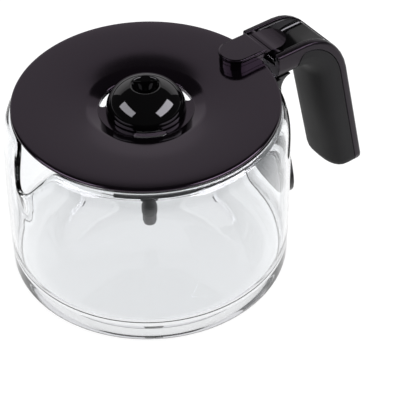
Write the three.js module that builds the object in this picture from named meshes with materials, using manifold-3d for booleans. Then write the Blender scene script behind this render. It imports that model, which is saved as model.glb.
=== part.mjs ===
// Coffee carafe: a glass jug with a bonded open handle and a hinged drip lid.
// Millimetres, +Z up. The origin is on the jug's axis at its base, the handle points along +X
// and the spout along -X.
import * as THREE from "three";
import { mergeVertices } from "three/addons/utils/BufferGeometryUtils.js";
import Module from "manifold-3d";

const wasm = await Module();
wasm.setup();

// Fits
const FIT = 0.3; // gap between pieces that seat on each other
const PIN_CLEARANCE = 0.15; // radial, round pins and screws in their holes

// Glass jug
const JUG_RADIUS = 75.4; // widest outer radius
const BELLY_HEIGHT = 48; // where the jug is widest
const BARREL_DROP = 0.9; // how much narrower the jug is one belly height from the widest place
const HEEL_RADIUS = 4;
const WALL = 2.2;
const FLOOR_THICKNESS = 5.2;
const FLOOR_FILLET = 8;
const SHOULDER_HEIGHT = 84; // where the wall starts to turn in
const RIM_HEIGHT = 97.9;
const RIM_INSET = 5; // how much narrower the rim is than the belly
const RIM_RADIUS = JUG_RADIUS - RIM_INSET; // outer
const RIM_BEAD = 1.3; // height of the rounded rim
const SPOUT_START = 52; // height where the spout leaves the wall
const SPOUT_DROP = 18.9; // the spout's tip below the rim
const SPOUT_REACH = 4.1; // the spout's tip outside the belly
const SPOUT_TIP_HEIGHT = RIM_HEIGHT - SPOUT_DROP;
const SPOUT_TIP_RADIUS = JUG_RADIUS + SPOUT_REACH;
const SPOUT_HALF_ANGLE = THREE.MathUtils.degToRad(15.5);
const JUG_SEGMENTS = 64;
const SPOUT_CROWDING = 0.7; // 0 spaces the segments evenly, towards 1 crowds them at the spout

// Lid
const LID_INSET = 0.4; // the lid's edge inside the glass rim
const LID_RADIUS = RIM_RADIUS - LID_INSET;
const LID_RISE = 3.1; // the lid's edge above the glass rim
const LID_TOP = RIM_HEIGHT + LID_RISE;
const LID_EDGE_BEVEL = 0.6;
const LID_WALL = 2.1;
const LID_SEAT_WIDTH = 7; // ring over the glass rim
const LID_LIP = 1.4; // thickness of the lid's outer edge
const LID_LIP_WIDTH = 1.6; // the edge's underside rises over this width
const LID_CUT_HALF_ANGLE = THREE.MathUtils.degToRad(41); // the lip and skirt stop here at the spout
const LID_EDGE_AT_SPOUT = 1.4;
const LID_SEGMENTS = 56;
const WELL_LIP_RADIUS = 31;
const WELL_LIP_DROP = 2.2;
const WELL_FLOOR_RADIUS = 25.2;
const WELL_DEPTH = 4.4;
const SKIRT_GAP = 1.4; // from the glass rim
const SKIRT_WALL = 1.8;
const SKIRT_DEPTH = 5.2;
const SLOT_WIDTH = 3.6;
const SLOT_SPAN = THREE.MathUtils.degToRad(34); // between the centres of its round ends
const SLOT_COUNT = 3;

// Handle, with reaches out from the jug's belly and drops from the arm's top
const HANDLE_HALF = 15.9;
const ARM_OVERLAP = 0.6; // how far the arm's front reaches in over the belly
const ARM_FRONT = JUG_RADIUS - ARM_OVERLAP;
const ARM_RISE = 3.2; // the arm's top above the lid's edge
const ARM_TOP = LID_TOP + ARM_RISE;
const ARM_DEPTH = 17;
const ARM_UNDERSIDE = ARM_TOP - ARM_DEPTH;
const OUTER_ARM_REACH = 18.6; // where the outer line leaves the arm
const OUTER_BEND_REACH = 47.5;
const OUTER_BEND_DROP = 27.7;
const OUTER_FOOT_REACH = 61.8;
const INNER_ARM_REACH = 14.6; // where the inner line leaves the arm
const INNER_BEND_REACH = 27.2;
const INNER_BEND_DROP = 29.2;
const INNER_FOOT_REACH = 41.6;
const FOOT_HEIGHT = 8; // where the grip's end starts to round
const OUTER_BEND_START = JUG_RADIUS + OUTER_ARM_REACH;
const OUTER_BEND_END = new THREE.Vector2(JUG_RADIUS + OUTER_BEND_REACH, ARM_TOP - OUTER_BEND_DROP);
const OUTER_FOOT = new THREE.Vector2(JUG_RADIUS + OUTER_FOOT_REACH, FOOT_HEIGHT);
const INNER_BEND_START = JUG_RADIUS + INNER_ARM_REACH;
const INNER_BEND_END = new THREE.Vector2(JUG_RADIUS + INNER_BEND_REACH, ARM_TOP - INNER_BEND_DROP);
const INNER_FOOT = new THREE.Vector2(JUG_RADIUS + INNER_FOOT_REACH, FOOT_HEIGHT);
const FOOT_ROUNDING = 3.8;
const OUTER_SQUARENESS = 14; // superellipse powers of the section's two halves
const INNER_SQUARENESS = 2.6;
const BAND = 5.1; // thickness of the frame's outer band
const GRIP_WALL = 2.4;
const GRIP_REACH = 11.1; // where the grip's upper end tapers out under the arm
const GRIP_START = JUG_RADIUS + GRIP_REACH;
const GRIP_TAPER = 3;
const CORE_DROP = 32.2; // the frame's core inside the grip ends here
const CORE_BOTTOM = ARM_TOP - CORE_DROP;
const CHANNEL_HALF = 12.2;
const CHANNEL_DEPTH = 13.2; // under the thumb rest
const CHANNEL_FLOOR = ARM_TOP - CHANNEL_DEPTH;
const CHANNEL_RISE = 4.1; // how much shallower the channel is at the bend
const CHANNEL_REACH = 14.1; // where the channel's floor starts to rise
const CHANNEL_RISE_START = JUG_RADIUS + CHANNEL_REACH;
const CHANNEL_RISE_LENGTH = 12;
const LINER = 1.2;
const FRONT_WALL = 1.5; // closes the arm's front below the hinge

// Handle bracket and its adhesive
const PAD_THICKNESS = 0.8;
const PAD_INSET = 2.5; // how far the adhesive stays inside the bracket's edge
const BRACKET_THICKNESS = 3.3;
const BRACKET_DROP = 1.2; // the shield's top below the arm
const BRACKET_TOP = ARM_UNDERSIDE - BRACKET_DROP;
const BRACKET_BOTTOM = 15;
const BRACKET_NECK_HALF = 13;
const BRACKET_LOBE_HALF = 35;
const BRACKET_LOBE_HEIGHT = 33; // height of the lobe's widest place
const LUG_HALF = 12;
const LUG_REACH = 6; // how far the lug stands out under the arm
const LUG_DROP = 10; // height of the lug's hollow curve

// Drip dome and feed tube
const DOME_RADIUS = 20.7;
const DOME_RISE = 15.6;
const DOME_SKIRT = 0.4; // straight part below the curve
const DOME_WALL = 1.8;
const DOME_HOLE_RADIUS = 7.9;
const DOME_SEAT = 3.2; // width of the well floor under the dome
const FUNNEL_DEPTH = 12.4;
const FUNNEL_CONE = 3; // height of the funnel's narrow end
const TUBE_BORE = 2.4;
const TUBE_RADIUS = 4.45;
const TUBE_BOTTOM = 24;
const TUBE_FLANGE = 1.9;
const TUBE_FLANGE_RADIUS = 20;
const NOZZLE_RADIUS = 3.85;
const NOZZLE_BOTTOM = 16.4;
const NOZZLE_BORE = 1.5;
const NOZZLE_SPIGOT_RADIUS = 3;
const NOZZLE_SPIGOT = 6;

// Hinge, thumb lever and tab
const HINGE_REACH = 7.8; // the hinge's axis outside the lid's edge
const HINGE_X = LID_RADIUS + HINGE_REACH;
const HINGE_Z = LID_TOP;
const PIN_RADIUS = 1.5;
const PIN_HALF = 14.4;
const KNUCKLE_RADIUS = 3.4;
const KNUCKLE_HALF = 11.6;
const LEVER_HALF = 8.9;
const LEVER_INSET = 20.8; // how far the lever's plate reaches in over the lid
const LEVER_FRONT = LID_RADIUS - LEVER_INSET;
const LEVER_PLATE = 1.7;
const REST_LEAD = 2.6; // the thumb rest in front of the hinge's axis
const REST_FRONT = HINGE_X - REST_LEAD;
const REST_TAIL = 11.4; // and behind it
const REST_BACK = HINGE_X + REST_TAIL;
const REST_RISE = 4.8;
const REST_TOP = HINGE_Z + REST_RISE;
const REST_DISH = 0.8;
const REST_THICKNESS = 2.2;
const TAB_HALF = 9.3;
const TAB_INSET = 21.3; // how far the tab reaches in over the lid
const TAB_FRONT = LID_RADIUS - TAB_INSET;
const TAB_OVERHANG = 1.6;
const TAB_BACK = LID_RADIUS + TAB_OVERHANG;
const TAB_THICKNESS = 2.1;
const TAB_BEVEL = 0.9;
const BOSS_HEIGHT = 2; // the lever's seat above the lid's edge
const BOSS_INSET = 0.4; // the boss inside the tab's outline

// Screws
const SHANK_RADIUS = 1.2;
const HEAD_RADIUS = 2.3;
const HEAD_HEIGHT = 1.5;
const LEVER_SCREW_INSET = 10;
const LEVER_SCREW_X = LID_RADIUS - LEVER_SCREW_INSET;
const LEVER_SCREW_Y = 4.5;
const BRACKET_SCREW_REACH = 3.5;
const BRACKET_SCREW_X = JUG_RADIUS + BRACKET_SCREW_REACH;
const BRACKET_SCREW_Y = 5;
const BRACKET_SCREW_LENGTH = 8.5;
const GRIP_SCREW_REACH = 19.6;
const GRIP_SCREW_X = JUG_RADIUS + GRIP_SCREW_REACH;

const ROUND_SEGMENTS = 24;
const ARC_STEPS = 6;
const FAR = 60; // reach of cutting blocks past the piece that they cut

// Turns a closed geometry into a solid with its faces pointing out.
function solid(geometry) {
  const bare = geometry.index ? geometry.clone() : geometry;
  bare.deleteAttribute("normal");
  bare.deleteAttribute("uv");
  const merged = mergeVertices(bare, 1e-4);
  const points = merged.attributes.position.array;
  const corners = merged.index.array;
  const faces = [];
  let volume = 0;
  for (let i = 0; i < corners.length; i += 3) {
    const [a, b, c] = [corners[i], corners[i + 1], corners[i + 2]];
    if (a === b || b === c || c === a) continue;
    faces.push(a, b, c);
    const [pa, pb, pc] = [a, b, c].map((k) => new THREE.Vector3().fromArray(points, 3 * k));
    volume += pa.dot(pb.cross(pc));
  }
  if (volume < 0) faces.reverse();
  const vertProperties = new Float32Array(points);
  const triVerts = new Uint32Array(faces);
  return new wasm.Manifold(new wasm.Mesh({ numProp: 3, vertProperties, triVerts }));
}

// Turns a solid back into a named mesh.
function piece(name, body, color, roughness, metalness = 0) {
  const mesh = body.getMesh();
  const geometry = new THREE.BufferGeometry();
  geometry.setAttribute("position", new THREE.BufferAttribute(mesh.vertProperties, 3));
  geometry.setIndex(new THREE.BufferAttribute(mesh.triVerts, 1));
  geometry.computeVertexNormals();
  const material = new THREE.MeshStandardMaterial({ color, roughness, metalness });
  const part = new THREE.Mesh(geometry, material);
  part.name = name;
  return part;
}

// A profile of [radius, height] points turned about the Z axis.
function turned(profile, segments = ROUND_SEGMENTS) {
  const points = profile.map(([r, z]) => new THREE.Vector2(r, z));
  const closed = points[0].x === 0 ? points : [...points, points[0].clone()];
  return solid(new THREE.LatheGeometry(closed, segments).rotateX(Math.PI / 2));
}

// A plan outline raised from one height to another.
function raised(shape, bottom, top, curveSegments = 12, bevel = 0) {
  const geometry = new THREE.ExtrudeGeometry(shape, {
    depth: top - bottom - 2 * bevel,
    curveSegments,
    bevelEnabled: bevel > 0,
    bevelThickness: bevel,
    bevelSize: bevel,
    bevelOffset: -bevel,
    bevelSegments: 2,
  });
  return solid(geometry.translate(0, 0, bottom + bevel));
}

// A side outline in X and Z, widened by the same amount to both sides of the middle plane.
function sideways(shape, half, curveSegments = 12) {
  const geometry = new THREE.ExtrudeGeometry(shape, { depth: 2 * half, curveSegments, bevelEnabled: false });
  return solid(geometry.rotateX(Math.PI / 2).translate(0, half, 0));
}

// An outline in Y and Z, pushed along X.
function pushed(shape, from, to, curveSegments = 12) {
  const geometry = new THREE.ExtrudeGeometry(shape, { depth: to - from, curveSegments, bevelEnabled: false });
  const turn = new THREE.Matrix4().makeBasis(
    new THREE.Vector3(0, 1, 0), new THREE.Vector3(0, 0, 1), new THREE.Vector3(1, 0, 0));
  return solid(geometry.applyMatrix4(turn).translate(from, 0, 0));
}

// An upright round bar.
function bar(x, y, bottom, top, radius) {
  const geometry = new THREE.CylinderGeometry(radius, radius, top - bottom, ROUND_SEGMENTS);
  return solid(geometry.rotateX(Math.PI / 2).translate(x, y, (bottom + top) / 2));
}

// A round bar across the handle, centred on the hinge.
function crossBar(radius, half) {
  const geometry = new THREE.CylinderGeometry(radius, radius, 2 * half, ROUND_SEGMENTS);
  return solid(geometry.translate(HINGE_X, 0, HINGE_Z));
}

function outline(points) {
  return new THREE.Shape(points.map(([x, y]) => new THREE.Vector2(x, y)));
}

// Points of a quadratic curve, without its first point.
function bend(start, control, end, steps = ARC_STEPS) {
  const [a, b, c] = [start, control, end].map(([x, y]) => new THREE.Vector2(x, y));
  return new THREE.QuadraticBezierCurve(a, b, c).getPoints(steps).slice(1).map((p) => [p.x, p.y]);
}

// An arc of a ring in plan, between two angles.
function ringArc(inner, outer, from, to) {
  const shape = new THREE.Shape();
  shape.absarc(0, 0, outer, from, to, false);
  shape.absarc(0, 0, inner, to, from, true);
  return shape;
}

// Outer radius of the jug's barrel at a height.
function barrel(z) {
  return JUG_RADIUS - BARREL_DROP * ((z - BELLY_HEIGHT) / BELLY_HEIGHT) ** 2;
}

// Section of the glass: radius, height and depth below the outer surface, from base to inner floor.
function glassSection() {
  const points = [[0, 0, 0], [barrel(HEEL_RADIUS) - HEEL_RADIUS, 0, 0]];
  for (let i = 1; i <= 3; i += 1) {
    const turn = (i / 3) * (Math.PI / 2);
    const radius = barrel(HEEL_RADIUS) - HEEL_RADIUS + HEEL_RADIUS * Math.sin(turn);
    points.push([radius, HEEL_RADIUS - HEEL_RADIUS * Math.cos(turn), 0]);
  }
  const lift = [0.25, 0.45, 0.6, 0.72, 0.86, 1];
  const rise = SHOULDER_HEIGHT - HEEL_RADIUS;
  for (const share of lift) {
    const z = HEEL_RADIUS + rise * share;
    points.push([barrel(z), z, 0]);
  }
  const wallTop = barrel(SHOULDER_HEIGHT);
  const beadFoot = RIM_HEIGHT - RIM_BEAD;
  const turnHeight = SHOULDER_HEIGHT + 0.65 * (RIM_HEIGHT - SHOULDER_HEIGHT);
  const outside = bend([wallTop, SHOULDER_HEIGHT], [wallTop, turnHeight], [RIM_RADIUS, beadFoot], 5);
  points.push(...outside.map(([r, z]) => [r, z, 0]));
  for (const turn of [Math.PI / 4, Math.PI / 2, (3 * Math.PI) / 4, Math.PI]) {
    const across = (WALL / 2) * (1 - Math.cos(turn));
    points.push([RIM_RADIUS - across, beadFoot + RIM_BEAD * Math.sin(turn), across]);
  }
  const innerTop = wallTop - WALL;
  const inside = bend([RIM_RADIUS - WALL, beadFoot], [innerTop, turnHeight], [innerTop, SHOULDER_HEIGHT], 5);
  points.push(...inside.map(([r, z]) => [r, z, WALL]));
  const filletTop = FLOOR_THICKNESS + FLOOR_FILLET;
  for (const share of [0.78, 0.6, 0.42, 0.2, 0]) {
    const z = filletTop + (SHOULDER_HEIGHT - filletTop) * share;
    points.push([barrel(z) - WALL, z, WALL]);
  }
  const filletRadius = barrel(filletTop) - WALL - FLOOR_FILLET;
  for (let i = 1; i <= 3; i += 1) {
    const turn = (i / 3) * (Math.PI / 2);
    points.push([filletRadius + FLOOR_FILLET * Math.cos(turn), filletTop - FLOOR_FILLET * Math.sin(turn), WALL]);
  }
  points.push([0, FLOOR_THICKNESS, WALL]);
  return points;
}

// The jug is its section turned about the axis, with the upper wall drawn out and down at the spout.
function glassJug() {
  const section = glassSection();
  const points = section.map(([r, z]) => new THREE.Vector2(r, z));
  const geometry = new THREE.LatheGeometry(points, JUG_SEGMENTS);
  const position = geometry.attributes.position;
  for (let i = 0; i < position.count; i += 1) {
    const [radius, height, depth] = section[i % section.length];
    const step = Math.floor(i / section.length) % JUG_SEGMENTS;
    const even = (step / JUG_SEGMENTS) * 2 * Math.PI;
    const angle = even - SPOUT_CROWDING * Math.sin(even);
    const away = Math.min(angle, 2 * Math.PI - angle) / SPOUT_HALF_ANGLE;
    const pull = away < 1 ? (1 + Math.cos(Math.PI * away)) / 2 : 0;
    const climb = Math.max(0, (height - SPOUT_START) / (RIM_HEIGHT - SPOUT_START));
    const spoutRadius = barrel(SPOUT_START) + (SPOUT_TIP_RADIUS - barrel(SPOUT_START)) * climb ** 2 - depth;
    const spoutHeight = SPOUT_START + (SPOUT_TIP_HEIGHT - SPOUT_START) * climb;
    const drawn = climb > 0 ? pull : 0;
    const r = radius + (spoutRadius - radius) * drawn;
    const z = height + (spoutHeight - height) * drawn;
    position.setXYZ(i, -r * Math.cos(angle), -r * Math.sin(angle), z);
  }
  return piece("glass_jug", solid(geometry), 0xe8eeee, 0.05);
}

// Bracket: a shield that hugs the glass, narrow at the neck and wide at its lower lobe.
const PAD_INNER = JUG_RADIUS + FIT / 2;
const BRACKET_INNER = PAD_INNER + PAD_THICKNESS + FIT / 2;
const BRACKET_OUTER = BRACKET_INNER + BRACKET_THICKNESS;
const BRACKET_HALF_ANGLE = 0.6;

function shield(inset) {
  const neck = BRACKET_NECK_HALF - inset;
  const lobe = BRACKET_LOBE_HALF - inset;
  const top = BRACKET_TOP - inset;
  const bottom = BRACKET_BOTTOM + inset;
  const waist = top - 0.5 * (top - bottom);
  const flare = BRACKET_LOBE_HEIGHT + 0.5 * (waist - BRACKET_LOBE_HEIGHT);
  const heel = bottom + 0.3 * (BRACKET_LOBE_HEIGHT - bottom);
  const shape = new THREE.Shape();
  shape.moveTo(-neck, top);
  shape.bezierCurveTo(-neck, waist, -lobe, flare, -lobe, BRACKET_LOBE_HEIGHT);
  shape.bezierCurveTo(-lobe, heel, -lobe / 2, bottom, 0, bottom);
  shape.bezierCurveTo(lobe / 2, bottom, lobe, heel, lobe, BRACKET_LOBE_HEIGHT);
  shape.bezierCurveTo(lobe, flare, neck, waist, neck, top);
  return pushed(shape, JUG_RADIUS / 2, JUG_RADIUS + FAR, 8);
}

function bondPad() {
  const ring = ringArc(PAD_INNER, PAD_INNER + PAD_THICKNESS, -BRACKET_HALF_ANGLE, BRACKET_HALF_ANGLE);
  const sheet = raised(ring, 0, LID_TOP, ROUND_SEGMENTS);
  return piece("bond_pad", sheet.intersect(shield(PAD_INSET)), 0xb9bcbb, 0.6);
}

const LUG_TOP = ARM_UNDERSIDE - FIT;

function handleBracket() {
  const ring = ringArc(BRACKET_INNER, BRACKET_OUTER, -BRACKET_HALF_ANGLE, BRACKET_HALF_ANGLE);
  const sheet = raised(ring, 0, LID_TOP, ROUND_SEGMENTS);
  const root = BRACKET_INNER + BRACKET_THICKNESS / 2;
  const foot = [BRACKET_OUTER - 0.5, LUG_TOP - LUG_DROP];
  const hollow = bend(foot, [BRACKET_OUTER, LUG_TOP - 1], [BRACKET_OUTER + LUG_REACH, LUG_TOP - 0.5]);
  const lug = outline([[root, foot[1]], foot, ...hollow, [BRACKET_OUTER + LUG_REACH, LUG_TOP], [root, LUG_TOP]]);
  let body = sheet.intersect(shield(0)).add(sideways(lug, LUG_HALF));
  const pilot = SHANK_RADIUS + PIN_CLEARANCE;
  for (const side of [-1, 1]) {
    const bottom = BRACKET_SCREW_BOTTOM - FIT;
    body = body.subtract(bar(BRACKET_SCREW_X, side * BRACKET_SCREW_Y, bottom, LUG_TOP + 1, pilot));
  }
  return piece("handle_bracket", body, 0x1d1b1d, 0.45);
}

// Stations along the handle: the outer and inner edge of its side view, and the share of full width.
function handleStations(inset) {
  const stations = [];
  for (const share of [0, 0.4, 0.8]) {
    const outer = new THREE.Vector2(ARM_FRONT + (OUTER_BEND_START - ARM_FRONT) * share, ARM_TOP);
    const inner = new THREE.Vector2(ARM_FRONT + (INNER_BEND_START - ARM_FRONT) * share, ARM_UNDERSIDE);
    stations.push({ outer, inner, width: 1 });
  }
  const outerLine = OUTER_FOOT.clone().sub(OUTER_BEND_END).normalize();
  const innerLine = INNER_FOOT.clone().sub(INNER_BEND_END).normalize();
  const outerArm = new THREE.Vector2(OUTER_BEND_START, ARM_TOP);
  const innerArm = new THREE.Vector2(INNER_BEND_START, ARM_UNDERSIDE);
  const outerReach = 0.6 * (ARM_TOP - OUTER_BEND_END.y);
  const innerReach = 0.6 * (ARM_UNDERSIDE - INNER_BEND_END.y);
  const outerBend = new THREE.CubicBezierCurve(outerArm,
    new THREE.Vector2(OUTER_BEND_START + outerReach * 0.75, ARM_TOP),
    OUTER_BEND_END.clone().addScaledVector(outerLine, -outerReach), OUTER_BEND_END);
  const innerBend = new THREE.CubicBezierCurve(innerArm,
    new THREE.Vector2(INNER_BEND_START + innerReach * 0.75, ARM_UNDERSIDE),
    INNER_BEND_END.clone().addScaledVector(innerLine, -innerReach), INNER_BEND_END);
  const bendSteps = 8;
  for (let i = 0; i <= bendSteps; i += 1) {
    const share = i / bendSteps;
    stations.push({ outer: outerBend.getPoint(share), inner: innerBend.getPoint(share), width: 1 });
  }
  for (const share of [0.33, 0.67, 1]) {
    const outer = OUTER_BEND_END.clone().lerp(OUTER_FOOT, share);
    const inner = INNER_BEND_END.clone().lerp(INNER_FOOT, share);
    stations.push({ outer, inner, width: 1 });
  }
  const depth = FOOT_ROUNDING - inset;
  for (const turn of [Math.PI / 6, Math.PI / 3, Math.PI / 2]) {
    const shrink = (FOOT_ROUNDING * (1 - Math.cos(turn))) / 2;
    const outer = OUTER_FOOT.clone().addScaledVector(outerLine, depth * Math.sin(turn));
    const inner = INNER_FOOT.clone().addScaledVector(innerLine, depth * Math.sin(turn));
    const across = outer.clone().sub(inner).normalize();
    outer.addScaledVector(across, -shrink);
    inner.addScaledVector(across, shrink);
    stations.push({ outer, inner, width: 1 - shrink / HANDLE_HALF });
  }
  return stations;
}

// The whole handle's form, or the same form with every face moved in.
function handleForm(inset) {
  const stations = handleStations(inset);
  const last = stations.length - 1;
  const geometry = new THREE.CylinderGeometry(1, 1, 1, 24, last);
  const position = geometry.attributes.position;
  for (let i = 0; i < position.count; i += 1) {
    const station = stations[Math.round((0.5 - position.getY(i)) * last)];
    const cosine = Number(position.getZ(i).toFixed(6));
    const sine = Number(position.getX(i).toFixed(6));
    const power = 2 / (cosine > 0 ? OUTER_SQUARENESS : INNER_SQUARENESS);
    const out = Math.sign(cosine) * Math.abs(cosine) ** power;
    const aside = Math.sign(sine) * Math.abs(sine) ** power;
    const across = station.outer.clone().sub(station.inner);
    const half = across.length() / 2 - inset;
    const middle = station.outer.clone().add(station.inner).multiplyScalar(0.5);
    middle.addScaledVector(across.normalize(), half * out);
    const y = (HANDLE_HALF * station.width - inset) * aside;
    position.setXYZ(i, middle.x, y, middle.y);
  }
  return solid(geometry);
}

// The part of the side view that belongs to the grip, inside the seam.
function gripSide(band) {
  const stations = handleStations(0).slice(3);
  const seam = stations.map(({ outer, inner }) => {
    const inward = inner.clone().sub(outer).normalize();
    const point = outer.clone().addScaledVector(inward, band);
    return [point.x, point.y];
  });
  const start = GRIP_START + (band - BAND);
  const rise = bend([start, ARM_UNDERSIDE - 1], [start + GRIP_TAPER, seam[0][1]], seam[0]);
  const foot = seam[seam.length - 1];
  const slope = (OUTER_FOOT.x - OUTER_BEND_END.x) / (OUTER_BEND_END.y - OUTER_FOOT.y);
  const low = [foot[0] + slope * FAR, foot[1] - FAR];
  return outline([[start, 0], [start, ARM_UNDERSIDE - 1], ...rise, ...seam.slice(1), low, [start, low[1]]]);
}

// Floor line of the arm's channel, raised by a given height.
function channelFloor(height) {
  const low = CHANNEL_FLOOR + height;
  const high = low + CHANNEL_RISE;
  const start = [CHANNEL_RISE_START, low];
  return [start, ...bend(start, [CHANNEL_RISE_START + 0.42 * CHANNEL_RISE_LENGTH, high],
    [CHANNEL_RISE_START + CHANNEL_RISE_LENGTH, high])];
}

function channelSide(front, height) {
  const floor = channelFloor(height);
  const back = OUTER_BEND_END.x;
  const high = floor[floor.length - 1][1];
  return outline([[front, CHANNEL_FLOOR + height], ...floor, [back, high], [back, LID_TOP + FAR],
    [front, LID_TOP + FAR]]);
}

const LINER_FRONT = BRACKET_SCREW_X + HEAD_RADIUS + FIT;
const BRACKET_SCREW_HEAD = CHANNEL_FLOOR + FIT;
const BRACKET_SCREW_BOTTOM = BRACKET_SCREW_HEAD - BRACKET_SCREW_LENGTH;
const GRIP_SCREW_FLOOR = channelFloor(0).find(([x]) => x >= GRIP_SCREW_X)[1] - 1;
const GRIP_SCREW_HEAD = GRIP_SCREW_FLOOR - HEAD_HEIGHT;
const GRIP_SCREW_BOTTOM = ARM_UNDERSIDE + GRIP_WALL / 3;

function handleFrame() {
  const coreSide = outline([[ARM_FRONT, CORE_BOTTOM], [OUTER_FOOT.x, CORE_BOTTOM],
    [OUTER_FOOT.x, LID_TOP + FAR], [ARM_FRONT, LID_TOP + FAR]]);
  const core = handleForm(GRIP_WALL + FIT).intersect(sideways(coreSide, HANDLE_HALF));
  let body = handleForm(0).subtract(sideways(gripSide(BAND - FIT), 2 * HANDLE_HALF)).add(core);
  body = body.subtract(sideways(channelSide(ARM_FRONT + FRONT_WALL, 0), CHANNEL_HALF));
  const hingeFloor = HINGE_Z - KNUCKLE_RADIUS - 2 * FIT;
  const hingeBack = HINGE_X + KNUCKLE_RADIUS;
  const hingeSide = outline([[ARM_FRONT - FAR, hingeFloor], [hingeBack, hingeFloor], [hingeBack, LID_TOP + FAR],
    [ARM_FRONT - FAR, LID_TOP + FAR]]);
  body = body.subtract(sideways(hingeSide, CHANNEL_HALF));
  body = body.subtract(crossBar(PIN_RADIUS + PIN_CLEARANCE, PIN_HALF + FIT));
  const clear = SHANK_RADIUS + PIN_CLEARANCE;
  for (const side of [-1, 1]) {
    const y = side * BRACKET_SCREW_Y;
    body = body.subtract(bar(BRACKET_SCREW_X, y, ARM_UNDERSIDE - FIT, CHANNEL_FLOOR + 1, clear));
  }
  body = body.subtract(bar(GRIP_SCREW_X, 0, ARM_UNDERSIDE, LID_TOP, clear));
  const counterbore = HEAD_RADIUS + PIN_CLEARANCE;
  body = body.subtract(bar(GRIP_SCREW_X, 0, GRIP_SCREW_HEAD - FIT, LID_TOP, counterbore));
  return piece("handle_frame", body, 0x2a272a, 0.4);
}

function channelLiner() {
  const trough = sideways(channelSide(LINER_FRONT, FIT), CHANNEL_HALF - FIT);
  const hollow = sideways(channelSide(LINER_FRONT - FAR, FIT + LINER), CHANNEL_HALF - FIT - LINER);
  const gripWall = sideways(gripSide(BAND - FIT), 2 * HANDLE_HALF).subtract(handleForm(GRIP_WALL + FIT));
  const body = trough.intersect(handleForm(2 * FIT)).subtract(gripWall).subtract(hollow);
  return piece("channel_liner", body, 0x0c0b0d, 0.12);
}

function gripShell() {
  let body = handleForm(0).intersect(sideways(gripSide(BAND), 2 * HANDLE_HALF));
  body = body.subtract(handleForm(GRIP_WALL));
  const pilot = SHANK_RADIUS + PIN_CLEARANCE;
  body = body.subtract(bar(GRIP_SCREW_X, 0, GRIP_SCREW_BOTTOM - FIT, LID_TOP, pilot));
  return piece("grip_shell", body, 0x353437, 0.75);
}

// A pan-head screw that points down from its head's underside, or up.
function screw(name, x, y, seat, length, up = false) {
  const profile = [[0, -length], [SHANK_RADIUS * 0.6, -length], [SHANK_RADIUS, -length + 1], [SHANK_RADIUS, 0],
    [HEAD_RADIUS, 0], [HEAD_RADIUS, HEAD_HEIGHT * 0.6], [HEAD_RADIUS * 0.7, HEAD_HEIGHT], [0, HEAD_HEIGHT]];
  const body = turned(profile, 12).rotate([up ? 180 : 0, 0, 0]).translate([x, y, seat]);
  return piece(name, body, 0x9a9a9c, 0.35, 1);
}

// Lid: a dished disc with a shallow well in the middle and a thin lip over the glass rim.
const LID_SEAT = RIM_HEIGHT + FIT;
const WELL_FLOOR = LID_TOP - WELL_DEPTH;
const WELL_UNDERSIDE = WELL_FLOOR - LID_WALL;
const DOME_SEAT_RADIUS = DOME_RADIUS - DOME_SEAT;
const LEVER_SEAT = LID_TOP + BOSS_HEIGHT;

function lidProfile() {
  const edge = [LID_RADIUS - LID_EDGE_BEVEL, LID_TOP];
  const lip = [WELL_LIP_RADIUS, LID_TOP - WELL_LIP_DROP];
  const wellFoot = [WELL_FLOOR_RADIUS, WELL_FLOOR + 0.3];
  const dish = bend(edge, [(edge[0] + lip[0]) / 2, LID_TOP], lip, 6);
  const underFoot = [WELL_FLOOR_RADIUS + 1, WELL_UNDERSIDE];
  const underLip = [WELL_LIP_RADIUS + 1.4, LID_TOP - WELL_LIP_DROP - LID_WALL];
  const underWall = bend(underFoot, [WELL_FLOOR_RADIUS + LID_WALL + 1.4, underLip[1] - 0.4], underLip, 3);
  const seat = [LID_RADIUS - LID_SEAT_WIDTH, LID_SEAT];
  const underDish = bend(underLip, [(underLip[0] + seat[0]) / 2, LID_SEAT], seat, 4);
  const floor = [[WELL_FLOOR_RADIUS - 0.3, WELL_FLOOR], [DOME_SEAT_RADIUS, WELL_FLOOR]];
  const under = [[DOME_SEAT_RADIUS, WELL_UNDERSIDE], underFoot, ...underWall, ...underDish];
  const thinLip = [[LID_RADIUS - LID_LIP_WIDTH, LID_SEAT], [LID_RADIUS, LID_TOP - LID_LIP]];
  return [edge, ...dish, wellFoot, ...floor, ...under, ...thinLip, [LID_RADIUS, LID_TOP - LID_EDGE_BEVEL]];
}

// A plan outline with a straight back edge and a round front.
function roundFronted(front, back, half) {
  const shape = new THREE.Shape();
  shape.moveTo(back, half);
  shape.lineTo(front + half, half);
  shape.absarc(front + half, 0, half, Math.PI / 2, (3 * Math.PI) / 2, false);
  shape.lineTo(back, -half);
  return shape;
}

// A bent slot with round ends in the well's floor, centred on an angle.
function drainSlot(middle) {
  const inner = DOME_RADIUS + FIT;
  const radius = inner + SLOT_WIDTH / 2;
  const [from, to] = [middle - SLOT_SPAN / 2, middle + SLOT_SPAN / 2];
  const shape = new THREE.Shape();
  shape.absarc(0, 0, inner + SLOT_WIDTH, from, to, false);
  shape.absarc(radius * Math.cos(to), radius * Math.sin(to), SLOT_WIDTH / 2, to, to + Math.PI, false);
  shape.absarc(0, 0, inner, to, from, true);
  const start = [radius * Math.cos(from), radius * Math.sin(from)];
  shape.absarc(...start, SLOT_WIDTH / 2, from + Math.PI, from + 2 * Math.PI, false);
  return shape;
}

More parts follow.
